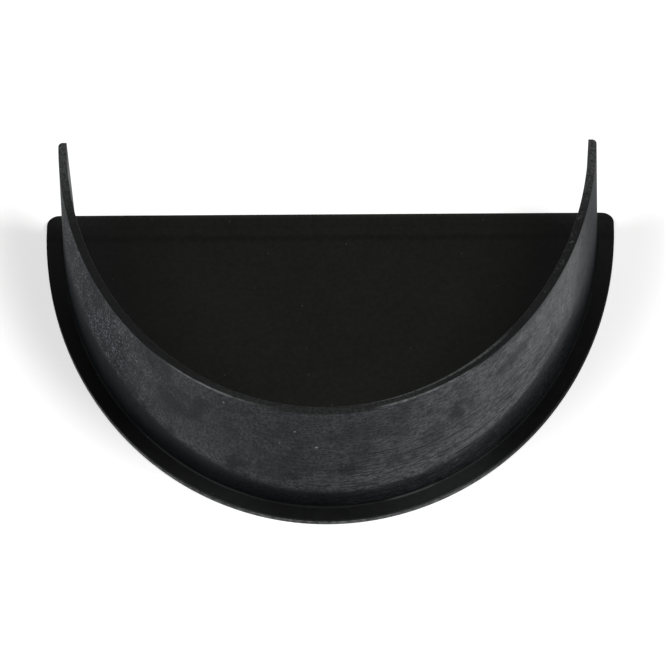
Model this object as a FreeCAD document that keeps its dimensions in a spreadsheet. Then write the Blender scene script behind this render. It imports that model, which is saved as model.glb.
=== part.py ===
"""End cap for a deep half-round gutter, moulded in one piece: a flat plate with a drafted wall on it.

Millimetres, +Z up. The cap lies on its plate: the outer face is in z = 0 and the wall stands up from the
inner face. X runs across the gutter, and +Y points at the gutter's open top, where the plate's edge is
straight. The plate's curve, and the wall that follows it, are half ellipses about the origin of the body's
own frame, which lies one corner radius in front of the straight edge. The body is then placed so that the
part's origin is the middle of the outer face.
"""

import FreeCAD
import Part
import Sketcher
import os
from enum import IntEnum
from math import pi, sqrt

NODE = "end_cap"

# Driving sizes, in millimetres, with the drafts in degrees.
DRIVING_SIZES = (
    ("plate_width", 115.0, "plate along its straight edge"),
    ("plate_depth", 75.0, "plate from its straight edge to the bottom of its curve"),
    ("plate_thickness", 1.2, "plate from its outer face to its inner face"),
    ("plate_corner_radius", 2.5, "corners at the ends of the straight edge, in plan"),
    ("plate_edge_bevel", 0.2, "bevel on the plate's outer and inner edges"),
    ("flange_width", 3.4, "plate left outside the wall's foot along the curve"),
    ("end_setback", 4.8, "straight edge to the ends of the wall"),
    ("wall_height", 30.0, "plate's inner face to the rim"),
    ("rim_thickness", 1.65, "wall at its rim"),
    ("outer_draft", 1.75, "lean of the wall's outer face"),
    ("inner_draft", 0.5, "lean of the wall's inner face"),
    ("end_corner_radius", 1.0, "outer corner of each wall end, in plan"),
    ("rim_round", 0.25, "round on the rim's outer edge"),
    ("mouth_bevel", 0.2, "bevel on the rim's inner edge"),
    ("foot_fillet", 0.4, "fillet between the wall's outer face and the plate"),
)

# Sizes that follow from those: half-widths and depths of the nested ellipses, the line on which the wall
# ends, and the heights of the rim and of the hollow's mouth.
FOLLOWING_SIZES = (
    ("plate_half_width", "plate_width / 2"),
    ("curve_depth", "plate_depth - plate_corner_radius"),
    ("wall_end_line", "plate_corner_radius - end_setback"),
    ("foot_half_width", "plate_half_width - flange_width"),
    ("foot_depth", "curve_depth - flange_width"),
    ("outer_lean", "wall_height * tan(outer_draft * 1 deg)"),
    ("inner_lean", "(wall_height - mouth_bevel) * tan(inner_draft * 1 deg)"),
    ("rim_half_width", "foot_half_width - outer_lean"),
    ("rim_depth", "foot_depth - outer_lean"),
    ("mouth_half_width", "rim_half_width - rim_thickness"),
    ("mouth_depth", "rim_depth - rim_thickness"),
    ("flare_half_width", "mouth_half_width + mouth_bevel"),
    ("flare_depth", "mouth_depth + mouth_bevel"),
    ("floor_half_width", "mouth_half_width - inner_lean"),
    ("floor_depth", "mouth_depth - inner_lean"),
    ("rim_level", "plate_thickness + wall_height"),
    ("mouth_level", "rim_level - mouth_bevel"),
)

# Two heights or places closer than this, in millimetres, are the same one.
SAME_PLACE = 1e-4

UP = FreeCAD.Vector(0, 0, 1)


class Point(IntEnum):
    """A sketch's own names for the points of a curve."""

    START = 1
    END = 2
    CENTRE = 3


class Axis(IntEnum):
    """A sketch's own names for its axes."""

    ACROSS = -1
    ALONG = -2


ORIGIN = (Axis.ACROSS, Point.START)


def make_sheet(doc):
    """Spreadsheet of the driving sizes, with the sizes that follow from them below."""
    sheet = doc.addObject("Spreadsheet::Sheet", "sizes")
    rows = [(alias, str(value), meaning) for alias, value, meaning in DRIVING_SIZES]
    rows += [(alias, f"={formula}", "follows from the sizes above") for alias, formula in FOLLOWING_SIZES]
    for row, (alias, content, meaning) in enumerate(rows, start=1):
        sheet.set(f"A{row}", meaning)
        sheet.set(f"B{row}", content)
        sheet.setAlias(f"B{row}", alias)
    doc.recompute()
    return sheet


class CapBody:
    """The cap's PartDesign body, with the steps that build it up in order."""

    def __init__(self, doc, sheet):
        self.doc = doc
        self.sheet = sheet
        self.body = doc.addObject("PartDesign::Body", NODE)
        self.body.Label = NODE

    def size(self, alias):
        """Value of a named size, in millimetres."""
        return float(self.sheet.get(alias))

    def add(self, kind, name):
        """New feature of the body."""
        return self.body.newObject(f"PartDesign::{kind}", name)

    def flat_sketch(self, name, level=None):
        """Empty sketch parallel to the plate, in the outer face or at the named height."""
        sketch = self.body.newObject("Sketcher::SketchObject", name)
        ground = next(plane for plane in self.body.Origin.OriginFeatures if plane.Role == "XY_Plane")
        sketch.AttachmentSupport = [(ground, "")]
        sketch.MapMode = "FlatFace"
        if level:
            sketch.setExpression("AttachmentOffset.Base.z", f"sizes.{level}")
        return sketch

    def constrain(self, sketch, formula, kind, *where):
        """Driving dimension of a sketch, bound to a formula of named sizes."""
        index = sketch.addConstraint(Sketcher.Constraint(kind, *where))
        sketch.setExpression(f"Constraints[{index}]", formula)

    def centred_ellipse(self, sketch, curve, half_width, depth):
        """Adds an ellipse, or an arc of one, fixed about the origin by a named half-width and depth."""
        index = sketch.addGeometry(curve)
        sketch.exposeInternalGeometry(index)
        long_axis = index + 1
        short_axis = index + 2
        sketch.addConstraint(Sketcher.Constraint("Coincident", index, Point.CENTRE, *ORIGIN))
        sketch.addConstraint(Sketcher.Constraint("Vertical", long_axis))
        self.constrain(sketch, f"2 * sizes.{depth}", "Distance", long_axis, 2 * self.size(depth))
        self.constrain(sketch, f"2 * sizes.{half_width}", "Distance", short_axis, 2 * self.size(half_width))
        return index

    def ellipse_curve(self, half_width, depth):
        """Ellipse about the origin whose parameter runs from the rear, by the left, to the front."""
        rear = FreeCAD.Vector(0, self.size(depth), 0)
        side = FreeCAD.Vector(self.size(half_width), 0, 0)
        return Part.Ellipse(rear, side, FreeCAD.Vector())

    def ellipse_sketch(self, name, half_width, depth, level):
        """Sketch of a whole ellipse at a named height."""
        sketch = self.flat_sketch(name, level)
        self.centred_ellipse(sketch, self.ellipse_curve(half_width, depth), half_width, depth)
        return sketch

    def plate_sketch(self):
        """Outline of the plate: the half ellipse, two quarter-round corners and the straight edge."""
        sketch = self.flat_sketch("plate_outline")
        half = self.size("plate_half_width")
        radius = self.size("plate_corner_radius")
        ellipse = self.ellipse_curve("plate_half_width", "curve_depth")
        front_half = Part.ArcOfEllipse(ellipse, pi / 2, 3 * pi / 2)
        curve = self.centred_ellipse(sketch, front_half, "plate_half_width", "curve_depth")
        right_centre = FreeCAD.Vector(half - radius, 0, 0)
        left_centre = FreeCAD.Vector(radius - half, 0, 0)
        rise = FreeCAD.Vector(0, radius, 0)
        right = sketch.addGeometry(Part.ArcOfCircle(Part.Circle(right_centre, UP, radius), 0, pi / 2))
        edge = sketch.addGeometry(Part.LineSegment(right_centre + rise, left_centre + rise))
        left = sketch.addGeometry(Part.ArcOfCircle(Part.Circle(left_centre, UP, radius), pi / 2, pi))
        sketch.addConstraint(Sketcher.Constraint("PointOnObject", curve, Point.START, Axis.ACROSS))
        sketch.addConstraint(Sketcher.Constraint("PointOnObject", curve, Point.END, Axis.ACROSS))
        sketch.addConstraint(Sketcher.Constraint("Coincident", curve, Point.END, right, Point.START))
        sketch.addConstraint(Sketcher.Constraint("Tangent", right, Point.END, edge, Point.START))
        sketch.addConstraint(Sketcher.Constraint("Tangent", edge, Point.END, left, Point.START))
        sketch.addConstraint(Sketcher.Constraint("Coincident", left, Point.END, curve, Point.START))
        sketch.addConstraint(Sketcher.Constraint("PointOnObject", right, Point.CENTRE, Axis.ACROSS))
        sketch.addConstraint(Sketcher.Constraint("PointOnObject", left, Point.CENTRE, Axis.ACROSS))
        sketch.addConstraint(Sketcher.Constraint("Equal", right, left))
        self.constrain(sketch, "sizes.plate_corner_radius", "Radius", right, radius)
        return sketch

    def trim_wall_ends(self):
        """Cuts off the wall behind the line on which it ends."""
        line = self.size("wall_end_line")
        far = line + self.size("plate_depth")
        half = self.size("plate_half_width")
        sketch = self.flat_sketch("wall_end_outline", "plate_thickness")
        places = ((-half, line), (half, line), (half, far), (-half, far))
        corners = [FreeCAD.Vector(x, y, 0) for x, y in places]
        front, right, back, left = range(len(corners))
        for start, end in zip(corners, corners[1:] + corners[:1]):
            sketch.addGeometry(Part.LineSegment(start, end))
        for side, after in ((front, right), (right, back), (back, left), (left, front)):
            sketch.addConstraint(Sketcher.Constraint("Coincident", side, Point.END, after, Point.START))
        front_ends = (front, Point.START, front, Point.END)
        right_ends = (right, Point.START, right, Point.END)
        sketch.addConstraint(Sketcher.Constraint("Symmetric", *front_ends, Axis.ALONG))
        sketch.addConstraint(Sketcher.Constraint("Vertical", right))
        sketch.addConstraint(Sketcher.Constraint("Horizontal", back))
        sketch.addConstraint(Sketcher.Constraint("Vertical", left))
        self.constrain(sketch, "2 * sizes.plate_half_width", "DistanceX", *front_ends, 2 * half)
        self.constrain(sketch, "sizes.plate_depth", "DistanceY", *right_ends, far - line)
        self.constrain(sketch, "sizes.wall_end_line", "DistanceY", *ORIGIN, front, Point.START, line)
        cut = self.add("Pocket", "wall_ends")
        cut.Profile = sketch
        cut.Type = "ThroughAll"
        cut.Reversed = True
        self.doc.recompute()

    def loft(self, kind, name, lowest, *higher):
        """Straight-sided loft from one sketch up through others."""
        feature = self.add(kind, name)
        feature.Profile = lowest
        feature.Sections = list(higher)
        feature.Ruled = True
        self.doc.recompute()

    def dress(self, kind, measure, name, alias, wanted):
        """Fillet or chamfer, of a named size, on every edge so far that the wanted test picks."""
        base = self.body.Tip
        edges = [f"Edge{i}" for i, edge in enumerate(base.Shape.Edges, start=1) if wanted(edge)]
        if not edges:
            raise RuntimeError(f"{name} finds no edge")
        feature = self.add(kind, name)
        feature.Base = (base, edges)
        feature.setExpression(measure, f"sizes.{alias}")
        self.doc.recompute()

    def fillet(self, name, radius, wanted):
        """Round of a named radius."""
        self.dress("Fillet", "Radius", name, radius, wanted)

    def bevel(self, name, size, wanted):
        """Bevel of a named size."""
        self.dress("Chamfer", "Size", name, size, wanted)

    def at_level(self, edge, level):
        """Whether an edge lies flat at a height."""
        box = edge.BoundBox
        return abs(box.ZMin - level) < SAME_PLACE and abs(box.ZMax - level) < SAME_PLACE

    def upright_at(self, edge, place):
        """Whether an edge rises from a point of the plan."""
        foot = min((vertex.Point for vertex in edge.Vertexes), key=lambda point: point.z)
        rises = edge.BoundBox.ZLength > SAME_PLACE
        return rises and abs(abs(foot.x) - place.x) < SAME_PLACE and abs(foot.y - place.y) < SAME_PLACE

    def wall_end(self, half_width, depth):
        """Where a named ellipse meets the line on which the wall ends, on the right."""
        line = self.size("wall_end_line")
        return FreeCAD.Vector(self.size(half_width) * sqrt(1 - (line / self.size(depth)) ** 2), line, 0)

    def in_foot(self, edge):
        """Whether an edge lies where the wall meets the plate."""
        middle = edge.valueAt((edge.FirstParameter + edge.LastParameter) / 2)
        reach = (middle.x / self.size("foot_half_width")) ** 2 + (middle.y / self.size("foot_depth")) ** 2
        return reach < 1 + SAME_PLACE and self.at_level(edge, self.size("plate_thickness"))

    def build_plate(self):
        """Half-round plate with bevelled edges."""
        plate = self.add("Pad", "plate")
        plate.Profile = self.plate_sketch()
        plate.setExpression("Length", "sizes.plate_thickness")
        self.doc.recompute()
        self.bevel("plate_edges", "plate_edge_bevel", lambda edge: edge.BoundBox.ZLength < SAME_PLACE)

    def build_wall(self):
        """Block that leans in towards the rim, cut off at the wall's ends, with its outer edges rounded."""
        foot = self.ellipse_sketch("wall_foot", "foot_half_width", "foot_depth", "plate_thickness")
        rim = self.ellipse_sketch("wall_rim", "rim_half_width", "rim_depth", "rim_level")
        self.loft("AdditiveLoft", "wall", foot, rim)
        self.trim_wall_ends()
        corner = self.wall_end("foot_half_width", "foot_depth")
        self.fillet("end_corners", "end_corner_radius", lambda edge: self.upright_at(edge, corner))
        self.fillet("rim", "rim_round", lambda edge: self.at_level(edge, self.size("rim_level")))
        self.fillet("foot", "foot_fillet", self.in_foot)

    def hollow_wall(self):
        """Hollow that leaves the block as a wall open at its ends and flares at its mouth."""
        floor = self.ellipse_sketch("hollow_floor", "floor_half_width", "floor_depth", "plate_thickness")
        mouth = self.ellipse_sketch("hollow_mouth", "mouth_half_width", "mouth_depth", "mouth_level")
        flare = self.ellipse_sketch("hollow_flare", "flare_half_width", "flare_depth", "rim_level")
        self.loft("SubtractiveLoft", "hollow", floor, mouth, flare)

    def place(self):
        """Puts the middle of the outer face at the origin."""
        self.body.setExpression("Placement.Base.y", "sizes.plate_depth / 2 - sizes.plate_corner_radius")
        self.doc.recompute()


def check(doc, shape):
    """Stops if any object failed or the finished shape isn't one valid solid."""
    failed = [item.Name for item in doc.Objects if {"Invalid", "Error"} & set(item.State)]
    if failed:
        raise RuntimeError(f"failed: {', '.join(failed)}")
    if shape.isNull() or not shape.isValid() or len(shape.Solids) != 1:
        raise RuntimeError(f"{NODE} isn't one valid solid")


def main():
    """Builds the cap and writes its STEP file."""
    doc = FreeCAD.newDocument("gutter_end_cap")
    cap = CapBody(doc, make_sheet(doc))
    cap.build_plate()
    cap.build_wall()
    cap.hollow_wall()
    cap.place()
    shape = cap.body.Shape
    check(doc, shape)
    os.makedirs("parts", exist_ok=True)
    shape.exportStep(f"parts/{NODE}.step")
    box = shape.optimalBoundingBox()
    extent = f"{box.XLength:.2f} x {box.YLength:.2f} x {box.ZLength:.2f} mm"
    print(f"{NODE}: {extent}, {shape.Volume:.1f} cubic mm")


main()
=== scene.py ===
"""Gutter end cap in black plastic: a half-round plate with a wall that plugs into the gutter.

The cap lies on its outer face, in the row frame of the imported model: metres, X across the gutter, +Y at
the gutter's open top and +Z up. Sizes of the moulding and of its wear are in millimetres, as on a maker's
drawing, and the mesh is scaled to metres when it is finished.
"""

import logging
import math
from dataclasses import dataclass
from enum import Enum
from functools import reduce
from typing import Callable, NamedTuple

import bmesh
import bpy
from mathutils import Matrix, Quaternion, Vector


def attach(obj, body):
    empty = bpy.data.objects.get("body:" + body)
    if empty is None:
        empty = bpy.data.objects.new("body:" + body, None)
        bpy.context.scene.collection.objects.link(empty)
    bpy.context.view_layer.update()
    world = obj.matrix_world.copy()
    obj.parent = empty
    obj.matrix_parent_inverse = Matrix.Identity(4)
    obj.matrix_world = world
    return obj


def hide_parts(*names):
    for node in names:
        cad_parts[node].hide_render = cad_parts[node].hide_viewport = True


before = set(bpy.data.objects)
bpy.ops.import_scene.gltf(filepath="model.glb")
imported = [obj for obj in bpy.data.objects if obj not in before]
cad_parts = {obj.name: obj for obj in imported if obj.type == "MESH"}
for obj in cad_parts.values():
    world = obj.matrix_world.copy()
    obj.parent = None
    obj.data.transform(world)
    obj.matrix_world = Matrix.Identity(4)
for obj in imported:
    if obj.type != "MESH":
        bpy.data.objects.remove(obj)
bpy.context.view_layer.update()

MM = 0.001
NODE = "end_cap"
BODY = "root"

log = logging.getLogger("gutter_end_cap")

Mesh = bmesh.types.BMesh
Vert = bmesh.types.BMVert
Edge = bmesh.types.BMEdge
Face = bmesh.types.BMFace
Item = Vert | Edge | Face
Socket = bpy.types.NodeSocket
Inputs = dict[int | str, object]
Colour = tuple[float, float, float]
Point = tuple[float, float, float]


class Zone(Enum):
    """Surfaces of the moulding that wear in their own way, in the order of their material slots."""

    PLATE = 0
    WALL = 1
    RIM = 2
    EDGE = 3
    FOOT = 4
    PLAIN = 5


class Span(NamedTuple):
    """Smooth change from one value to another between two places of a measure, held outside them."""

    start: float
    end: float
    first: float
    last: float


class Band(NamedTuple):
    """Stretch of a measure on which something shows: it rises to a level, holds it and falls to nothing."""

    start: float
    full: float
    fading: float
    end: float
    level: float


class Noise(NamedTuple):
    """Noise by its scale, its octaves and the weight of the finer ones."""

    scale: float
    octaves: float
    roughness: float


class Mottle(NamedTuple):
    """Noise and the values that it is spread over."""

    noise: Noise
    spread: Span


class Specks(NamedTuple):
    """Small round specks in some of a grid's cells.

    cells is the number of cells in a metre, radius a speck's size, kept the share of cells that hold one,
    strength how much a speck shows, and solid_share the part of its radius inside its soft edge.
    """

    cells: float
    radius: float
    kept: float
    strength: Span = Span(0.0, 1.0, 0.1, 0.7)
    solid_share: float = 0.6


class Graph:
    """Node tree of a material or the world, built node by node."""

    def __init__(self, tree: bpy.types.NodeTree) -> None:
        """Clears the tree.

        Args:
            tree: the tree to fill.
        """
        self.tree = tree
        tree.nodes.clear()

    def node(self, kind: str, inputs: Inputs | None = None, **settings: object) -> bpy.types.Node:
        """Adds a node.

        Args:
            kind: the node's type, without the prefix of shader nodes.
            inputs: values or sockets for the node's inputs, by name or index.
            settings: properties of the node.

        Returns:
            The new node.
        """
        made = self.tree.nodes.new(f"ShaderNode{kind}")
        for name, value in settings.items():
            setattr(made, name, value)
        for name, value in (inputs or {}).items():
            if isinstance(value, Socket):
                self.tree.links.new(value, made.inputs[name])
            else:
                made.inputs[name].default_value = value
        return made

    def math(self, operation: str, *values: Socket | float) -> Socket:
        """Adds a Math node.

        Args:
            operation: the node's operation.
            values: numbers or sockets, in the node's order.

        Returns:
            The result.
        """
        return self.node("Math", dict(enumerate(values)), operation=operation).outputs[0]

    def product(self, *values: Socket | float) -> Socket:
        """Multiplies values, one after another."""
        return reduce(lambda one, other: self.math("MULTIPLY", one, other), values)

    def distance(self, one: Socket, other: Socket) -> Socket:
        """Length of the slope over two measures at right angles."""
        return self.math("SQRT", self.math("MULTIPLY_ADD", one, one, self.product(other, other)))

    def span(self, value: Socket, over: Span) -> Socket:
        """Maps a measure smoothly to other values.

        Args:
            value: the measure.
            over: where it changes, and from what to what.

        Returns:
            The mapped value.
        """
        inputs = dict(enumerate((value, *over)))
        return self.node("MapRange", inputs, interpolation_type="SMOOTHSTEP").outputs[0]

    def band(self, value: Socket, over: Band) -> Socket:
        """Shows something on a stretch of a measure.

        Args:
            value: the measure.
            over: the stretch.

        Returns:
            The band's level on the stretch and 0 outside it.
        """
        rising = self.span(value, Span(over.start, over.full, 0.0, over.level))
        falling = self.span(value, Span(over.fading, over.end, 1.0, 0.0))
        return self.product(rising, falling)

    def noise(self, place: Socket, kind: Noise) -> Socket:
        """Adds a Noise texture.

        Args:
            place: coordinates that it reads.
            kind: its scale and octaves.

        Returns:
            The noise, about 0.5.
        """
        inputs = {"Vector": place, "Scale": kind.scale}
        inputs |= {"Detail": kind.octaves, "Roughness": kind.roughness}
        return self.node("TexNoise", inputs).outputs["Fac"]

    def mottle(self, place: Socket, kind: Mottle) -> Socket:
        """Noise spread over other values."""
        return self.span(self.noise(place, kind.noise), kind.spread)

    def mix(self, share: Socket, low: Socket, high: Socket) -> Socket:
        """Value between two others, by a share from 0 to 1."""
        return self.node("Mix", {0: share, 2: low, 3: high}).outputs[0]

    def blend(self, share: Socket, low: Colour | Socket, high: Colour | Socket) -> Socket:
        """Mixes two colours.

        Args:
            share: how much of the second colour.
            low: the first colour.
            high: the second colour.

        Returns:
            The mixed colour.
        """
        ends = [value if isinstance(value, Socket) else (*value, 1.0) for value in (low, high)]
        return self.node("Mix", {0: share, 6: ends[0], 7: ends[1]}, data_type="RGBA").outputs[2]

    def specks(self, place: Socket, kind: Specks) -> Socket:
        """Scatters small round specks, some fainter than others.

        Args:
            place: coordinates whose first two they read, in metres.
            kind: their number, size and strength.

        Returns:
            A speck's strength on it, and 0 elsewhere.
        """
        inputs = {"Vector": place, "Scale": kind.cells}
        cells = self.node("TexVoronoi", inputs, voronoi_dimensions="2D").outputs
        draws = self.node("SeparateColor", {0: cells["Color"]}).outputs
        radius = kind.radius * MM * kind.cells
        disc = self.span(cells["Distance"], Span(kind.solid_share * radius, radius, 1.0, 0.0))
        kept = self.math("LESS_THAN", draws[0], kind.kept)
        return self.product(disc, self.span(draws[1], kind.strength), kept)


class SurfaceGraph(Graph):
    """Node tree of a plastic, with measures of the shaded point that its wear follows.

    place and axes hold the Object coordinates in metres, and x, y and z are the same in millimetres. angle
    runs round the cap in radians, 0 at the front and positive at the right, and turn is its size without the
    sign. reach is the distance from the middle of the plate's curve, which is half an ellipse, as a share of
    the ellipse's own distance there.
    """

    curve_middle: float = 35.0
    curve_half_width: float = 57.5
    curve_depth: float = 72.5

    def __init__(self, tree: bpy.types.NodeTree) -> None:
        """Clears the tree and adds the measures.

        Args:
            tree: the tree to fill.
        """
        super().__init__(tree)
        self.place = self.node("TexCoord").outputs["Object"]
        self.axes = self.node("SeparateXYZ", {0: self.place}).outputs
        self.x, self.y, self.z = (self.math("DIVIDE", self.axes[name], MM) for name in "XYZ")
        depth = self.math("SUBTRACT", self.curve_middle, self.y)
        self.angle = self.math("ARCTAN2", self.x, depth)
        self.turn = self.math("ABSOLUTE", self.angle)
        across = self.math("DIVIDE", self.x, self.curve_half_width)
        self.reach = self.distance(across, self.math("DIVIDE", depth, self.curve_depth))

    def sides(self, operation: str, left: Span, right: Span) -> Socket:
        """Joins a change at the left and another further right round the cap by a Math operation."""
        return self.math(operation, self.span(self.angle, left), self.span(self.angle, right))


@dataclass(frozen=True)
class Plastic:
    """Black plastic with the wear of one zone: dark where it is untouched, paler where it is hazed.

    The spans and bands of its wear, and of the light and shade that some zones paint into it, run over the
    measures that SurfaceGraph gives.
    """

    name: str
    body: Colour
    haze: Colour
    body_roughness: float
    matte_roughness: float
    refraction: float
    dust: Colour = (0.16, 0.16, 0.155)
    shine: Colour = (1.0, 1.0, 1.0)
    grain: Noise = Noise(2600.0, 3.0, 0.6)
    grain_depth: float = 0.004
    haze_cloud: Mottle = Mottle(Noise(60.0, 3.0, 0.5), Span(0.3, 0.7, 0.3, 0.7))
    gloss_cloud: Mottle = Mottle(Noise(300.0, 3.0, 0.6), Span(0.3, 0.7, 0.0, 1.0))
    dust_specks: Specks = Specks(130.0, 0.15, 0.5, Span(0.0, 1.0, 0.045, 0.315))

    def material(self) -> bpy.types.Material:
        """Builds the material.

        Returns:
            The new material.
        """
        made = bpy.data.materials.new(self.name)
        made.use_nodes = True
        graph = SurfaceGraph(made.node_tree)
        # The haze carries wear, and in some zones painted light and shade as well.
        colour = graph.blend(self.hazed(graph), self.body, self.paled(graph))
        # Dust, and on the rim its painted highlights, in the dust colour.
        colour = graph.blend(self.dust_and_glints(graph), colour, self.dust)
        gloss = Span(0.0, 1.0, self.body_roughness, self.matte_roughness)
        roughness = graph.span(self.matte(graph), gloss)
        relief = graph.noise(graph.place, self.grain)
        bump = graph.node("Bump", {"Height": relief, "Distance": self.grain_depth * MM})
        inputs = {"Base Color": colour, "Roughness": roughness, "Normal": bump.outputs[0]}
        inputs |= {"IOR": self.refraction, "Specular Tint": (*self.shine, 1.0)}
        shader = graph.node("BsdfPrincipled", inputs)
        graph.node("OutputMaterial", {"Surface": shader.outputs[0]})
        return made

    def paled(self, graph: SurfaceGraph) -> Colour | Socket:
        """Colour of the haze."""
        return self.haze

    def hazed(self, graph: SurfaceGraph) -> Socket:
        """Where the surface is paler, from 0 to 1."""
        return graph.mottle(graph.place, self.haze_cloud)

    def matte(self, graph: SurfaceGraph) -> Socket:
        """Where the gloss is rubbed off, from 0 to 1."""
        return graph.mottle(graph.place, self.gloss_cloud)

    def dust_and_glints(self, graph: SurfaceGraph) -> Socket:
        """How much of a grain of dust shows, from 0 to 1."""
        return graph.specks(graph.place, self.dust_specks)


@dataclass(frozen=True)
class PlatePlastic(Plastic):
    """Satin plate with soft witness lines of the mould behind the wall's ends, painted as the shade of tiny
    steps, and a painted highlight along the back edge.

    A line has its place along Y, half its width, and the haze that it lacks. The flange outside the wall has
    painted shade at the sides, at the left front and next to the wall's foot, and a painted highlight at the
    right front.
    """

    haze_cloud: Mottle = Mottle(Noise(45.0, 3.0, 0.5), Span(0.3, 0.7, 0.37, 0.43))
    fine_grain: Mottle = Mottle(Noise(1100.0, 3.0, 0.6), Span(0.3, 0.7, -0.07, 0.07))
    outer_haze: Colour = (0.0178, 0.0190, 0.0184)
    outward: Span = Span(0.5, 0.93, 0.0, 1.0)
    # Witness lines of the mould: painted shade of tiny steps that the mesh leaves out.
    lines: tuple[tuple[float, float, float], ...] = ((31.4, 1.4, 0.15), (34.4, 0.7, 0.05))
    # Painted highlight along the plate's back edge.
    back_glint: Span = Span(36.2, 37.5, 0.0, 0.45)
    flange: Span = Span(0.932, 0.938, 0.0, 1.0)
    # Painted shade on the flange at the sides, the left front and next to the wall's foot, and a painted
    # highlight at the right front.
    shade_left: Span = Span(-0.8, -0.45, 0.9, 0.0)
    shade_right: Span = Span(0.42, 0.64, 0.0, 0.62)
    shade_back: Span = Span(1.1, 1.5, 1.0, 0.3)
    shade_front: Band = Band(-0.65, -0.5, 0.02, 0.15, 0.3)
    shade_near_foot: Span = Span(0.955, 1.0, 1.3, 0.35)
    glint_front: Band = Band(0.12, 0.25, 0.42, 0.55, 0.17)

    def paled(self, graph: SurfaceGraph) -> Colour | Socket:
        """Colour of the haze, less olive towards the plate's outline."""
        return graph.blend(graph.span(graph.reach, self.outward), self.haze, self.outer_haze)

    def flange_shading(self, graph: SurfaceGraph) -> Socket:
        """Painted shade and highlight on the flange.

        Args:
            graph: the material's tree.

        Returns:
            The share of haze that the painted shade takes away, less than 0 where the painted highlight adds
            haze, and 0 inside the wall.
        """
        sides = graph.sides("ADD", self.shade_left, self.shade_right)
        sides = graph.product(sides, graph.span(graph.turn, self.shade_back))
        front = graph.band(graph.angle, self.shade_front)
        front = graph.product(front, graph.span(graph.reach, self.shade_near_foot))
        front = graph.math("SUBTRACT", front, graph.band(graph.angle, self.glint_front))
        return graph.product(graph.span(graph.reach, self.flange), graph.math("ADD", sides, front))

    def hazed(self, graph: SurfaceGraph) -> Socket:
        """Where the plate is paler, with the painted highlight along the back edge and the painted shade of
        the witness lines and the flange.

        Args:
            graph: the material's tree.

        Returns:
            The share of haze, from 0 to 1.
        """
        share = graph.math("ADD", super().hazed(graph), graph.mottle(graph.place, self.fine_grain))
        share = graph.math("ADD", share, graph.span(graph.y, self.back_glint))
        # Painted shade of the witness lines.
        for at, half, drop in self.lines:
            away = graph.math("ABSOLUTE", graph.math("SUBTRACT", graph.y, at))
            share = graph.math("SUBTRACT", share, graph.span(away, Span(0.0, half, drop, 0.0)))
        return graph.product(share, graph.math("SUBTRACT", 1.0, self.flange_shading(graph)))


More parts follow.
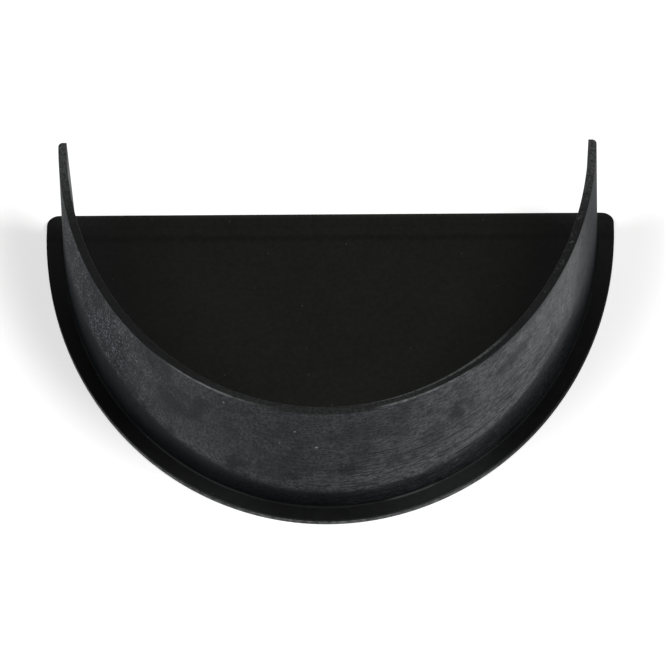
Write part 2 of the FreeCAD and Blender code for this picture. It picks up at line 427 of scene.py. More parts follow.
@dataclass(frozen=True)
class WallPlastic(Plastic):
    """Wall that the gutter has rubbed: chalky above a dark band at the foot, streaked at the right, salted
    at the left. The dark band is a painted reflection of the dark flange, and the chalk's share round the
    wall also paints light and shade.

    A smudge has its angle in degrees, its height, and half its length and height. A fleck has its angle
    in degrees, its height and its radius. The wall's radius turns an angle into a way along the wall.
    """

    radius: float = 60.0

    # Dark band at the foot, painted as the wall's reflection of the dark flange: its height, how much higher
    # and softer it is at the sides, and its edge.
    dark_band_height: float = 6.3
    left_rise: Span = Span(-1.3, 0.0, 8.0, 0.0)
    right_rise: Span = Span(0.15, 1.15, 0.0, 7.2)
    left_softness: Span = Span(-1.3, -0.7, 5.0, 0.9)
    right_softness: Span = Span(0.85, 1.3, 0.9, 4.0)
    foot_edge: Span = Span(-1.2, 0.8, 0.0, 1.0)

    # Fine scratches along the wall: their length against their width, and where they show.
    streak_length: float = 20.0
    streak_lines: Mottle = Mottle(Noise(1900.0, 1.5, 0.5), Span(0.52, 0.64, 0.0, 1.0))
    streak_depth: float = 0.8
    streaks_begin: Span = Span(-0.3, 0.2, 0.2, 1.0)
    streaks_end: Span = Span(0.8, 1.1, 1.0, 0.2)
    streaks_top: Span = Span(16.0, 22.0, 1.0, 0.25)

    # Dark smudges with ragged edges.
    smudges: tuple[tuple[float, float, float, float], ...] = (
        (3.2, 13.2, 2.6, 2.4), (22.6, 20.8, 1.6, 4.2), (35.0, 24.5, 6.0, 2.2),
        (-6.0, 10.5, 1.6, 1.6), (-28.0, 22.0, 5.0, 5.0),
    )
    smudge_rags: Mottle = Mottle(Noise(450.0, 4.0, 0.65), Span(0.3, 0.7, -0.45, 0.45))
    smudge_edge: Span = Span(0.3, 1.3, 0.2, 1.0)

    # Chalk: its grain, which is drawn out along the wall at the right, and its share round and up the wall,
    # which also paints light and shade round the wall.
    chalk_grain: Noise = Noise(1900.0, 3.0, 0.55)
    drawn_grain: Noise = Noise(2500.0, 3.0, 0.6)
    drawn_stretch: float = 0.25
    drawn_share: Span = Span(-0.3, 0.2, 0.1, 0.65)
    chalk_spread: Span = Span(0.34, 0.66, 0.08, 0.98)
    haze_cloud: Mottle = Mottle(Noise(170.0, 4.0, 0.6), Span(0.34, 0.60, 0.5, 1.0))
    left_rags: Mottle = Mottle(Noise(130.0, 3.0, 0.6), Span(0.3, 0.7, -0.45, 0.45))
    # Painted light and shade: the chalk thins at the left and the right back, where the wall mirrors shaded
    # table, thickens at the right, where it mirrors lit table, and thins at the front to offset the lamps'
    # light.
    chalk_and_shade_left: Span = Span(-0.82, -0.24, 0.01, 0.82)
    chalk_and_light_right: Span = Span(-0.3, 0.5, 0.82, 1.85)
    chalk_and_shade_end: Span = Span(0.88, 1.15, 1.0, 0.25)
    chalk_and_front_shade: Span = Span(0.0, 0.8, 0.62, 0.95)
    chalk_low: Span = Span(9.0, 15.0, 1.5, 1.0)
    # Chalk inside the painted dark band at the foot.
    chalk_foot: Span = Span(-0.45, 0.35, 0.09, 0.32)
    chalk_foot_end: Span = Span(0.4, 0.65, 1.0, 0.35)
    clean_top: Span = Span(28.6, 30.4, 0.0, 0.6)
    clean_top_right: Span = Span(0.4, 0.65, 0.0, 1.0)

    # Gloss that is rubbed off in clouds and at the two sides.
    gloss_cloud: Mottle = Mottle(Noise(500.0, 4.0, 0.7), Span(0.35, 0.75, 0.0, 0.25))
    matte_left: Span = Span(-1.0, -0.2, 0.8, 0.0)
    matte_right: Span = Span(0.9, 1.4, 0.0, 1.0)

    # Pale grains: salt in clusters at the left, scattered specks, and a few brighter flecks.
    salt: Mottle = Mottle(Noise(2300.0, 3.0, 0.65), Span(0.51, 0.68, 0.0, 1.0))
    salt_left: Span = Span(-0.9, -0.35, 0.75, 0.06)
    salt_clusters: Mottle = Mottle(Noise(190.0, 3.0, 0.6), Span(0.36, 0.60, 0.30, 1.3))
    dust_specks: Specks = Specks(90.0, 0.2, 0.3)
    flecks: tuple[tuple[float, float, float], ...] = (
        (-1.5, 20.4, 0.32), (-46.3, 20.8, 0.30), (-43.9, 18.4, 0.26),
        (-4.9, 25.0, 0.22), (-17.0, 28.6, 0.24),
    )
    fleck_solid_share: float = 0.5

    def rubbed(self, graph: SurfaceGraph) -> Socket:
        """Where the painted dark band at the foot ends; the band stands in for the wall's reflection of the
        dark flange.

        Args:
            graph: the material's tree.

        Returns:
            0 in the painted dark band at the wall's foot, which is higher at the sides, and 1 above it.
        """
        rise = graph.sides("ADD", self.left_rise, self.right_rise)
        softness = graph.sides("MAXIMUM", self.left_softness, self.right_softness)
        above = graph.math("SUBTRACT", graph.z, rise)
        above = graph.math("DIVIDE", graph.math("SUBTRACT", above, self.dark_band_height), softness)
        return graph.span(above, self.foot_edge)

    def unrolled(self, graph: SurfaceGraph, stretch: float) -> Socket:
        """Coordinates on the wall laid flat, in metres.

        Args:
            graph: the material's tree.
            stretch: scale along the wall.

        Returns:
            The way along the wall and the height up it.
        """
        along = graph.product(graph.angle, self.radius * MM * stretch)
        return graph.node("CombineXYZ", {0: along, 1: graph.axes["Z"]}).outputs[0]

    def streaked(self, graph: SurfaceGraph) -> Socket:
        """Chalk that is left between fine scratches along the wall, which lie mostly at the right front.

        Args:
            graph: the material's tree.

        Returns:
            The share, from 0 to 1.
        """
        flat = self.unrolled(graph, 1.0 / self.streak_length)
        lines = graph.mottle(flat, self.streak_lines)
        front = graph.sides("MULTIPLY", self.streaks_begin, self.streaks_end)
        cut = graph.product(lines, front, graph.span(graph.z, self.streaks_top), self.streak_depth)
        return graph.math("SUBTRACT", 1.0, cut)

    def smudged(self, graph: SurfaceGraph) -> Socket:
        """Chalk that is left by the smudges.

        Args:
            graph: the material's tree.

        Returns:
            The share, from 0 to 1.
        """
        along = graph.product(graph.angle, self.radius)
        ragged = graph.mottle(graph.place, self.smudge_rags)
        shares = []
        for turn, level, half_along, half_up in self.smudges:
            across = graph.math("SUBTRACT", along, math.radians(turn) * self.radius)
            across = graph.math("DIVIDE", across, half_along)
            up = graph.math("DIVIDE", graph.math("SUBTRACT", graph.z, level), half_up)
            far = graph.math("ADD", graph.distance(up, across), ragged)
            shares.append(graph.span(far, self.smudge_edge))
        return graph.product(*shares)

    def chalk(self, graph: SurfaceGraph) -> Socket:
        """Chalk that the gutter rubs up, before what its height changes, thinned and thickened round the
        wall as painted light and shade.

        Args:
            graph: the material's tree.

        Returns:
            The share of chalk, from 0 to 1.
        """
        drawn = graph.noise(self.unrolled(graph, self.drawn_stretch), self.drawn_grain)
        grain = graph.noise(graph.place, self.chalk_grain)
        grain = graph.mix(graph.span(graph.angle, self.drawn_share), grain, drawn)
        ragged = graph.math("ADD", graph.angle, graph.mottle(graph.place, self.left_rags))
        share = graph.product(
            graph.span(grain, self.chalk_spread),
            graph.mottle(graph.place, self.haze_cloud),
            # Painted shade at the left, painted light at the right, painted shade at the right back and at
            # the front.
            graph.span(ragged, self.chalk_and_shade_left),
            graph.sides("MULTIPLY", self.chalk_and_light_right, self.chalk_and_shade_end),
            graph.span(graph.turn, self.chalk_and_front_shade),
            self.streaked(graph),
            self.smudged(graph),
        )
        return graph.math("MINIMUM", share, 1.0)

    def hazed(self, graph: SurfaceGraph) -> Socket:
        """Where the wall is chalky, with the painted dark band at the foot.

        Args:
            graph: the material's tree.

        Returns:
            The share of haze, little in the painted dark band at the foot, most just above it and less again
            at the top right.
        """
        chalk = self.chalk(graph)
        foot = graph.product(chalk, graph.sides("MULTIPLY", self.chalk_foot, self.chalk_foot_end))
        top = graph.span(graph.angle, self.clean_top_right)
        top = graph.product(top, graph.span(graph.z, self.clean_top))
        above = graph.product(chalk, graph.span(graph.z, self.chalk_low))
        above = graph.product(above, graph.math("SUBTRACT", 1.0, top))
        # The painted dark band at the foot stands in for the wall's reflection of the dark flange.
        return graph.mix(self.rubbed(graph), foot, above)

    def matte(self, graph: SurfaceGraph) -> Socket:
        """Where the gloss is rubbed off.

        Args:
            graph: the material's tree.

        Returns:
            The share of matte surface, from 0 to 1.
        """
        sides = graph.sides("MAXIMUM", self.matte_left, self.matte_right)
        share = graph.math("ADD", sides, super().matte(graph))
        return graph.math("MINIMUM", share, 1.0)

    def dust_and_glints(self, graph: SurfaceGraph) -> Socket:
        """Where a pale grain lies.

        Args:
            graph: the material's tree.

        Returns:
            The strength of the grain, from 0 to 1.
        """
        clusters = graph.mottle(graph.place, self.salt_clusters)
        kept = graph.product(graph.span(graph.angle, self.salt_left), clusters)
        salt = graph.product(graph.mottle(graph.place, self.salt), kept, self.rubbed(graph))
        flat = self.unrolled(graph, 1.0)
        grains = graph.math("MAXIMUM", salt, graph.specks(flat, self.dust_specks))
        for turn, level, size in self.flecks:
            at = (math.radians(turn) * self.radius * MM, level * MM, 0.0)
            away = graph.node("VectorMath", {0: flat, 1: at}, operation="DISTANCE").outputs["Value"]
            fleck = Span(self.fleck_solid_share * size * MM, size * MM, 1.0, 0.0)
            grains = graph.math("MAXIMUM", grains, graph.span(away, fleck))
        return grains


@dataclass(frozen=True)
class FootPlastic(Plastic):
    """Fillet at the wall's foot: dark, with painted highlights of the lamps at the right front and a faint
    one at the left.

    A painted highlight has its two ends in degrees and its strength, which it holds from its middle to one
    share of its half length, and which is gone at another.
    """

    haze_cloud: Mottle = Mottle(Noise(300.0, 3.0, 0.6), Span(0.3, 0.7, 0.0, 0.08))
    # Painted highlights of the lamps along the fillet.
    fillet_glints: tuple[tuple[float, float, float], ...] = (
        (-34.0, -13.0, 0.3), (10.0, 18.5, 0.95), (19.0, 30.0, 0.3),
    )
    glint_full: float = 0.6
    glint_gone: float = 1.3
    glint_height: Span = Span(1.34, 1.42, 1.0, 0.25)

    def hazed(self, graph: SurfaceGraph) -> Socket:
        """Where the painted highlights of the lamps show.

        Args:
            graph: the material's tree.

        Returns:
            The share of haze, from 0 to 1.
        """
        share = super().hazed(graph)
        for start, end, level in self.fillet_glints:
            half = math.radians(end - start) / 2
            middle = math.radians(start + end) / 2
            away = graph.math("ABSOLUTE", graph.math("SUBTRACT", graph.angle, middle))
            glint = graph.span(away, Span(self.glint_full * half, self.glint_gone * half, level, 0.0))
            share = graph.math("ADD", share, glint)
        return graph.product(share, graph.span(graph.z, self.glint_height))


@dataclass(frozen=True)
class EdgePlastic(Plastic):
    """Plate's edge, dull, pale and speckled at the front and darker towards the right and the back. Its pale
    haze is a painted reflection that stands in for the one its low refraction leaves out.
    """

    haze_cloud: Mottle = Mottle(Noise(900.0, 3.0, 0.6), Span(0.3, 0.7, 0.22, 0.66))
    shade_right: Span = Span(25.0, 48.0, 1.0, 0.15)
    shade_back: Span = Span(5.0, 30.0, 1.0, 0.15)

    def hazed(self, graph: SurfaceGraph) -> Socket:
        """Where the edge is paler.

        Args:
            graph: the material's tree.

        Returns:
            The share of haze, from 0 to 1.
        """
        right = graph.span(graph.x, self.shade_right)
        back = graph.span(graph.y, self.shade_back)
        return graph.product(super().hazed(graph), graph.math("MINIMUM", right, back))


@dataclass(frozen=True)
class RimPlastic(Plastic):
    """Rim rubbed to a speckled grey, most at its two tips, with painted highlights of the lamps along its
    edges at the front.
    """

    haze_cloud: Mottle = Mottle(Noise(1600.0, 4.0, 0.7), Span(0.32, 0.70, 0.15, 1.0))
    tips: Span = Span(10.0, 30.0, 0.0, 1.2)
    front: Span = Span(-31.0, -22.0, 0.38, 0.08)
    inner_edge: Span = Span(0.916, 0.922, 1.0, 0.0)
    outer_edge: Span = Span(0.932, 0.938, 0.0, 1.0)
    # Painted highlights along the inner edge at the right front and the outer edge at the left front.
    inner_glint: Band = Band(0.08, 0.18, 0.45, 0.65, 2.4)
    outer_glint: Band = Band(-0.65, -0.5, -0.36, -0.22, 1.6)
    chips: Mottle = Mottle(Noise(2100.0, 3.0, 0.6), Span(0.54, 0.66, 0.0, 0.8))
    chips_begin: Span = Span(0.5, 0.7, 0.0, 1.0)

    # Painted highlights in the dust colour: two on the outer edge, at the left and right front, and one on
    # the inner edge.
    glint_edge: Span = Span(0.933, 0.935, 0.0, 1.0)
    glint_left: Band = Band(-0.58, -0.42, -0.2, -0.1, 0.9)
    glint_left_fade: Span = Span(-0.36, -0.18, 1.0, 0.2)
    glint_right: Band = Band(0.12, 0.22, 0.40, 0.50, 0.85)
    glint_inner: Band = Band(0.06, 0.14, 0.25, 0.32, 0.16)
    glint_grain: Mottle = Mottle(Noise(700.0, 3.0, 0.6), Span(0.35, 0.6, 0.45, 1.0))

    def hazed(self, graph: SurfaceGraph) -> Socket:
        """Where the rim is rubbed, with painted highlights along its edges at the front.

        Args:
            graph: the material's tree.

        Returns:
            The share of haze, from 0 to 1.
        """
        inner = graph.span(graph.reach, self.inner_edge)
        outer = graph.span(graph.reach, self.outer_edge)
        chips = graph.mottle(graph.place, self.chips)
        chips = graph.product(chips, graph.span(graph.angle, self.chips_begin))
        level = graph.math("ADD", graph.span(graph.y, self.tips), graph.span(graph.y, self.front))
        # Painted highlights along the inner and outer edges.
        level = graph.math("MULTIPLY_ADD", graph.band(graph.angle, self.inner_glint), inner, level)
        level = graph.math("MULTIPLY_ADD", graph.band(graph.angle, self.outer_glint), outer, level)
        level = graph.math("MULTIPLY_ADD", chips, inner, level)
        return graph.math("MINIMUM", graph.product(super().hazed(graph), level), 1.0)

    def dust_and_glints(self, graph: SurfaceGraph) -> Socket:
        """Where a grain of dust lies, or a painted highlight lies along an edge.

        Args:
            graph: the material's tree.

        Returns:
            The share of dust and painted highlight, from 0 to 1.
        """
        left = graph.band(graph.angle, self.glint_left)
        left = graph.product(left, graph.span(graph.angle, self.glint_left_fade))
        outer = graph.math("ADD", left, graph.band(graph.angle, self.glint_right))
        outer = graph.product(outer, graph.span(graph.reach, self.glint_edge))
        inner = graph.band(graph.angle, self.glint_inner)
        inner = graph.product(inner, graph.span(graph.reach, self.inner_edge))
        rim_glints = graph.math("ADD", outer, inner)
        rim_glints = graph.product(rim_glints, graph.mottle(graph.place, self.glint_grain))
        return graph.math("MAXIMUM", rim_glints, super().dust_and_glints(graph))


FINISHES: dict[Zone, Plastic] = {
    Zone.PLATE: PlatePlastic(
        "plate_satin_black", body=(0.0010, 0.0010, 0.0009), haze=(0.0184, 0.0197, 0.0160),
        body_roughness=0.28, matte_roughness=0.34, refraction=1.28,
    ),
    Zone.WALL: WallPlastic(
        "wall_chalky_black", body=(0.0070, 0.0084, 0.0102), haze=(0.1280, 0.1290, 0.1370),
        body_roughness=0.26, matte_roughness=0.60, refraction=1.19,
        # The wall's bluish tint, in its body, shine and dust, is painted light standing in for a bluish
        # light on the left.
        dust=(0.30, 0.33, 0.38), shine=(0.74, 0.87, 1.0), grain=Noise(1500.0, 3.0, 0.6), grain_depth=0.05,
    ),
    Zone.RIM: RimPlastic(
        "rim_rubbed_black", body=(0.0082, 0.0088, 0.0083), haze=(0.0580, 0.0600, 0.0600),
        # The rim's dust colour also colours its painted highlights.
        body_roughness=0.34, matte_roughness=0.50, refraction=1.18, dust=(0.150, 0.156, 0.160),
    ),
    # The edge's pale haze paints the table's reflection, which its low refraction leaves out.
    Zone.EDGE: EdgePlastic(
        "edge_dull_black", body=(0.0040, 0.0043, 0.0041), haze=(0.3000, 0.3060, 0.3180),
        body_roughness=0.85, matte_roughness=0.95, refraction=1.06,
    ),
    Zone.FOOT: FootPlastic(
        "foot_dark_black", body=(0.0064, 0.0069, 0.0068), haze=(0.0420, 0.0430, 0.0430),
        body_roughness=0.40, matte_roughness=0.50, refraction=1.14,
    ),
    Zone.PLAIN: Plastic(
        "plain_satin_black", body=(0.0062, 0.0066, 0.0056), haze=(0.0100, 0.0106, 0.0092),
        body_roughness=0.38, matte_roughness=0.48, refraction=1.25,
    ),
}


def add_object(name: str, data: bpy.types.ID) -> bpy.types.Object:
    """Adds an object to the scene.

    Args:
        name: the object's name.
        data: its mesh, light or camera.

    Returns:
        The new object.
    """
    made = bpy.data.objects.new(name, data)
    bpy.context.scene.collection.objects.link(made)
    return made


@dataclass
class CapMoulding:
    """The whole cap as one closed shell, with its sizes in millimetres and degrees.

    It is drawn about the middle of the ellipses that its curves follow. Each vertex of the plan keeps, in
    the layer called rail, the half-width of the ellipse that it lies on.
    """

    plate_width: float = 115.0
    plate_depth: float = 75.0
    plate_thickness: float = 1.2
    corner_radius: float = 2.5
    plate_edge_round: float = 0.2
    outer_edge_round: float = 0.06
    flange_width: float = 3.4
    end_setback: float = 4.8
    wall_height: float = 30.0
    rim_thickness: float = 1.65
    outer_draft: float = 1.75
    inner_draft: float = 0.5
    end_corner_radius: float = 1.0
    rim_round: float = 0.22
    foot_fillet: float = 0.4
    curve_steps: int = 180
    corner_steps: int = 8
    round_steps: int = 4
    same_place: float = 1e-3
    sharp_edge: float = 40.0
    sharp_bend: float = 60.0
    facing_down: float = -0.9

    def __post_init__(self) -> None:
        """Works out the sizes that follow from the others."""
        self.plate_half = self.plate_width / 2
        self.stretch = self.plate_depth - self.corner_radius - self.plate_half
        self.end_line = self.corner_radius - self.end_setback
        self.foot_half = self.plate_half - self.flange_width
        self.rim_half = self.foot_half - self.wall_height * math.tan(math.radians(self.outer_draft))
        self.mouth_half = self.rim_half - self.rim_thickness
        self.floor_half = self.mouth_half - self.wall_height * math.tan(math.radians(self.inner_draft))
        self.rim_level = self.plate_thickness + self.wall_height

    def near(self, value: float, target: float) -> bool:
        """Whether two sizes are the same."""
        return abs(value - target) < self.same_place

    def build(self) -> bpy.types.Object:
        """Builds the moulding.

        Returns:
            The new object, in its place.
        """
        data = bpy.data.meshes.new("cap_moulding")
        self.shape(data)
        self.dress(data)
        made = add_object("cap_moulding", data)
        normals = made.modifiers.new("even_normals", "WEIGHTED_NORMAL")
        normals.keep_sharp = True
        return made

    def shape(self, data: bpy.types.Mesh) -> None:
        """Makes the shell, with smooth faces between sharp edges.

        Args:
            data: the mesh to fill, in metres.
        """
        mesh = bmesh.new()
        self.rail = mesh.verts.layers.float.new("rail")
        self.draw_plan(mesh)
        self.raise_wall(mesh)
        self.thicken_plate(mesh)
        self.round_edges(mesh)
        self.assign_zones(mesh)
        bmesh.ops.translate(mesh, verts=mesh.verts, vec=(0, self.plate_depth / 2 - self.corner_radius, 0))
        bmesh.ops.scale(mesh, verts=mesh.verts, vec=(MM, MM, MM))
        mesh.to_mesh(data)
        mesh.free()
        data.shade_smooth()
        data.set_sharp_from_angle(angle=math.radians(self.sharp_edge))

    def dress(self, data: bpy.types.Mesh) -> None:
        """Gives the shell the finishes of its zones.

        Args:
            data: the filled mesh.
        """
        for zone in Zone:
            data.materials.append(FINISHES[zone].material())

    def draw_curves(self, mesh: Mesh) -> list[Vert]:
        """Draws the flange and the strip under the wall between the three ellipses that bound them.

        Args:
            mesh: the mesh to fill.

        Returns:
            The vertices of the two ends.
        """
        turn = math.asin(-self.end_line / ((self.foot_half + self.floor_half) / 2 + self.stretch))
        row = []
        for half in (self.plate_half, self.foot_half, self.floor_half):
            vert = mesh.verts.new((half * math.cos(turn), -half * math.sin(turn), self.plate_thickness))
            vert[self.rail] = half
            row.append(vert)
        line = [mesh.edges.new(pair) for pair in zip(row, row[1:])]
        spun = bmesh.ops.spin(
            mesh, geom=row + line, cent=(0, 0, 0), axis=(0, 0, -1), dvec=(0, 0, 0), space=Matrix(),
            angle=math.pi - 2 * turn, steps=self.curve_steps,
            use_merge=False, use_normal_flip=False, use_duplicate=False,
        )
        for vert in mesh.verts:
            vert.co.y += self.stretch * vert.co.y / math.hypot(vert.co.x, vert.co.y)
        ends = row + self.verts_of(spun["geom_last"])
        for vert in ends:
            vert.co.y = self.end_line
        return ends

    def draw_plan(self, mesh: Mesh) -> None:
        """Draws the plate's inner face: the flange, the strip under the wall, the floor and the back strip.

        Args:
            mesh: the mesh to fill.
        """
        ends = self.draw_curves(mesh)
        arc = self.edges_where(mesh, lambda vert: self.near(vert[self.rail], self.floor_half))
        across = mesh.edges.new([vert for vert in ends if self.near(vert[self.rail], self.floor_half)])
        bmesh.ops.contextual_create(mesh, geom=arc + [across])
        back = self.edges_where(mesh, lambda vert: self.near(vert.co.y, self.end_line))
        moved = self.verts_of(bmesh.ops.extrude_edge_only(mesh, edges=back)["geom"])
        bmesh.ops.translate(mesh, verts=moved, vec=(0, self.end_setback, 0))
        corners = [vert for vert in moved if self.near(vert[self.rail], self.plate_half)]
        for vert in corners:
            vert.co.x = math.copysign(self.plate_half, vert.co.x)
        self.bevel(mesh, corners, "VERTICES", self.corner_radius, self.corner_steps)

    def verts_of(self, geom: list[Item]) -> list[Vert]:
        """Vertices among the items that an operator gives."""
        return [item for item in geom if isinstance(item, Vert)]

    def edges_where(self, mesh: Mesh, test: Callable[[Vert], bool]) -> list[Edge]:
        """Edges of which both vertices pass a test."""
        return [edge for edge in mesh.edges if all(test(vert) for vert in edge.verts)]

    def bevel(self, mesh: Mesh, items: list[Item], affect: str, size: float, steps: int) -> None:
        """Rounds edges or corners.

        Args:
            mesh: the mesh that holds them.
            items: the edges or vertices.
            affect: EDGES or VERTICES.
            size: the radius.
            steps: faces across the round.
        """
        bmesh.ops.bevel(
            mesh, geom=items, offset=size, offset_type="OFFSET", affect=affect, segments=steps,
            profile=0.5, material=-1, clamp_overlap=False, miter_outer="ARC",
        )

    def wall_strip(self, mesh: Mesh) -> list[Face]:
        """Finds the strip that the wall stands on.

        Args:
            mesh: the plan.

        Returns:
            The strip's faces.
        """
        found = []
        for face in mesh.faces:
            rails = [vert[self.rail] for vert in face.verts]
            between = self.near(min(rails), self.floor_half) and self.near(max(rails), self.foot_half)
            if between and max(vert.co.y for vert in face.verts) < self.end_line + self.same_place:
                found.append(face)
        return found

    def outer_rail(self, mesh: Mesh, side: int) -> list[Vert]:
        """Finds one half of the wall's outer foot.

        Args:
            mesh: the plan.
            side: -1 for the left half and 1 for the right half.

        Returns:
            Its vertices, from the wall's end on.
        """
        rail = [vert for vert in mesh.verts if self.near(vert[self.rail], self.foot_half)]
        half = [vert for vert in rail if vert.co.x * side > 0]
        front = [vert for vert in half if vert.co.y < self.end_line + self.same_place]
        return sorted(front, key=lambda vert: -vert.co.y)

    def round_wall_ends(self, mesh: Mesh) -> None:
        """Rounds the outer corners of the wall's ends in the plan.

        Args:
            mesh: the plan.
        """
        for side in (-1, 1):
            last = mesh.edges.get(self.outer_rail(mesh, side)[:2])
            bmesh.ops.bisect_edges(mesh, edges=[last], cuts=self.corner_steps)
            for step, vert in enumerate(self.outer_rail(mesh, side)[: self.corner_steps + 1]):
                turn = step * math.pi / 2 / self.corner_steps
                vert.co.y = self.end_line - self.end_corner_radius * (1 - math.cos(turn))
                share = vert.co.y / (self.foot_half + self.stretch)
                on_curve = self.foot_half * math.sqrt(1 - share ** 2)
                vert.co.x = side * (on_curve - self.end_corner_radius * (1 - math.sin(turn)))

    def raise_wall(self, mesh: Mesh) -> None:
        """Extrudes the wall from its strip of the plan and leans its faces.

        Args:
            mesh: the plan.
        """
        self.round_wall_ends(mesh)
        base = self.wall_strip(mesh)
        raised = bmesh.ops.extrude_face_region(mesh, geom=base)["geom"]
        bmesh.ops.delete(mesh, geom=base, context="FACES")
        top = self.verts_of(raised)
        bmesh.ops.translate(mesh, verts=top, vec=(0, 0, self.wall_height))
        ends = [vert for vert in top if self.near(vert.co.y, self.end_line)]
        for foot, rim in ((self.foot_half, self.rim_half), (self.floor_half, self.mouth_half)):
            ring = [vert for vert in top if self.near(vert[self.rail], foot)]
            share = (rim / foot, (rim + self.stretch) / (foot + self.stretch), 1)
            bmesh.ops.scale(mesh, verts=ring, vec=share)
        for vert in ends:
            vert.co.y = self.end_line

    def thicken_plate(self, mesh: Mesh) -> None:
        """Gives the plate its thickness and its outer face.

        Args:
            mesh: the plan with its wall.
        """
        outline = [edge for edge in mesh.edges if edge.is_boundary]
        low = self.verts_of(bmesh.ops.extrude_edge_only(mesh, edges=outline)["geom"])
        bmesh.ops.translate(mesh, verts=low, vec=(0, 0, -self.plate_thickness))
        bmesh.ops.contextual_create(mesh, geom=[edge for edge in mesh.edges if edge.is_boundary])
        bmesh.ops.recalc_face_normals(mesh, faces=mesh.faces)

    def round_edges(self, mesh: Mesh) -> None:
        """Rounds the rim, fills the wall's foot with a fillet, and rounds the plate's edges.

        Args:
            mesh: the closed shell.
        """
        for level, convex, size in (
            (self.rim_level, True, self.rim_round),
            (self.plate_thickness, False, self.foot_fillet),
            (self.plate_thickness, True, self.plate_edge_round),
            (0.0, True, self.outer_edge_round),
        ):
            self.bevel(mesh, self.bends(mesh, level, convex), "EDGES", size, self.round_steps)

    def bends(self, mesh: Mesh, level: float, convex: bool) -> list[Edge]:
        """Finds the edges at one height at which the surface turns sharply.

        Args:
            mesh: the closed shell.
            level: the height.
            convex: whether the edges stand out or lie in a corner.

        Returns:
            The edges.
        """
        mesh.normal_update()
        found = []
        for edge in self.edges_where(mesh, lambda vert: self.near(vert.co.z, level)):
            sharp = edge.is_manifold and edge.calc_face_angle() > math.radians(self.sharp_bend)
            if sharp and edge.is_convex == convex:
                found.append(edge)
        return found

    def assign_zones(self, mesh: Mesh) -> None:
        """Gives each face the material slot of its zone.

        Args:
            mesh: the finished shell.
        """
        for face in mesh.faces:
            middle = face.calc_center_median()
            outward = face.normal.x * middle.x + face.normal.y * middle.y > 0
            if middle.z < self.plate_thickness - self.plate_edge_round:
                zone = Zone.PLAIN if face.normal.z < self.facing_down else Zone.EDGE
            elif middle.z > self.rim_level - self.rim_round:
                zone = Zone.RIM
            elif middle.z > self.plate_thickness + self.foot_fillet:
                zone = Zone.WALL if outward else Zone.PLAIN
            elif middle.z > self.plate_thickness + self.same_place:
                zone = Zone.FOOT if outward else Zone.PLAIN
            else:
                zone = Zone.PLATE
            face.material_index = zone.value


@dataclass
class Lamp:
    """Soft square lamp that points at the cap, with its place and size in metres."""

    name: str
    place: Point
    watts: float
    size: float

    def build(self) -> bpy.types.Object:
        """Builds the lamp.

        Returns:
            The new lamp.
        """
        data = bpy.data.lights.new(self.name, "AREA")
        data.energy = self.watts
        data.size = self.size
        made = add_object(self.name, data)
        made.location = self.place
        made.rotation_mode = "QUATERNION"
        made.rotation_quaternion = (-Vector(self.place)).to_track_quat("-Z", "Y")
        return made


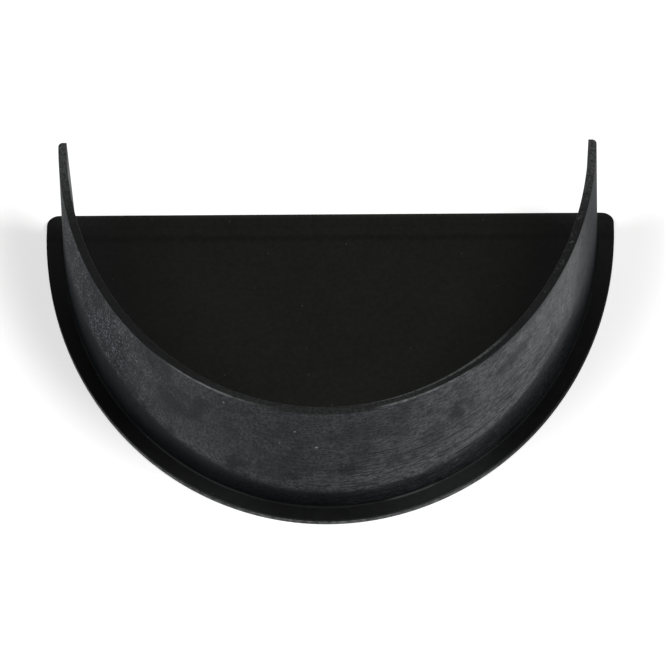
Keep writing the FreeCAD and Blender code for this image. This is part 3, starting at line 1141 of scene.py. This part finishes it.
@dataclass
class Studio:
    """White table, soft lamps, dim room and camera.

    Places and sizes are in metres, the camera's roll in degrees, and its lens and sensor in millimetres.
    """

    table_half: float = 2.0
    table_drop: float = 0.00002
    table_white: Colour = (0.80, 0.80, 0.80)
    table_lift: float = 0.395
    mirrored_lift: float = 0.05
    room: Colour = (0.100, 0.102, 0.098)
    lamps: tuple[Lamp, ...] = (
        Lamp("lamp_left", (-0.58, -0.27, 1.13), 6.15, 0.44),
        Lamp("lamp_right", (0.58, -0.27, 1.13), 9.5, 0.44),
        Lamp("lamp_back", (0.0, 0.70, 0.97), 0.45, 1.2),
    )
    camera_place: Point = (0.018451, -0.557905, 0.778005)
    camera_aim: Point = (0.000627, 0.008567, 0.0)
    camera_roll: float = -1.792
    lens: float = 260.97
    sensor_width: float = 36.0
    nearest: float = 0.01
    farthest: float = 20.0

    def build(self) -> None:
        """Builds the whole studio."""
        self.build_table()
        self.build_room()
        for lamp in self.lamps:
            lamp.build()
        self.build_camera()

    def build_table(self) -> None:
        """Pale table top that the camera and reflections see as white, with the cap's shadow on it."""
        mesh = bmesh.new()
        bmesh.ops.create_grid(mesh, x_segments=1, y_segments=1, size=self.table_half)
        bmesh.ops.translate(mesh, verts=mesh.verts, vec=(0, 0, -self.table_drop))
        data = bpy.data.meshes.new("table")
        mesh.to_mesh(data)
        mesh.free()
        data.materials.append(self.table_material())
        made = add_object("table", data)

    def table_material(self) -> bpy.types.Material:
        """Builds the table's white, which is lifted for the camera and in reflections.

        Returns:
            The new material.
        """
        made = bpy.data.materials.new("table_white")
        made.use_nodes = True
        graph = Graph(made.node_tree)
        path = graph.node("LightPath").outputs
        mirrored = graph.math("MAXIMUM", path["Is Glossy Ray"], path["Is Transmission Ray"])
        mirrored = graph.product(mirrored, self.mirrored_lift)
        lift = graph.math("MULTIPLY_ADD", path["Is Camera Ray"], self.table_lift, mirrored)
        paper = graph.node("BsdfDiffuse", {"Color": (*self.table_white, 1.0)})
        glow = graph.node("Emission", {"Strength": lift})
        both = graph.node("AddShader", {0: paper.outputs[0], 1: glow.outputs[0]})
        graph.node("OutputMaterial", {"Surface": both.outputs[0]})
        return made

    def build_room(self) -> None:
        """Dim, even room around the table."""
        world = bpy.data.worlds.new("room")
        world.use_nodes = True
        graph = Graph(world.node_tree)
        light = graph.node("Background", {"Color": (*self.room, 1.0)})
        graph.node("OutputWorld", {"Surface": light.outputs[0]})
        bpy.context.scene.world = world

    def build_camera(self) -> None:
        """Camera at the photograph's viewing angle."""
        data = bpy.data.cameras.new("camera")
        data.lens = self.lens
        data.sensor_width = self.sensor_width
        data.clip_start = self.nearest
        data.clip_end = self.farthest
        made = add_object("camera", data)
        view = Vector(self.camera_aim) - Vector(self.camera_place)
        level = view.to_track_quat("-Z", "Y")
        made.location = self.camera_place
        made.rotation_mode = "QUATERNION"
        made.rotation_quaternion = level @ Quaternion((0, 0, 1), math.radians(self.camera_roll))
        bpy.context.scene.camera = made


def main() -> None:
    """Builds the cap, its light and its camera, and reports each piece."""
    logging.basicConfig(level=logging.INFO)
    cap = CapMoulding().build()
    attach(cap, BODY)
    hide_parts(NODE)
    log.info("%s: %d faces", cap.name, len(cap.data.polygons))
    Studio().build()
    bpy.context.scene.view_settings.view_transform = "Standard"


if __name__ == "__main__":
    main()
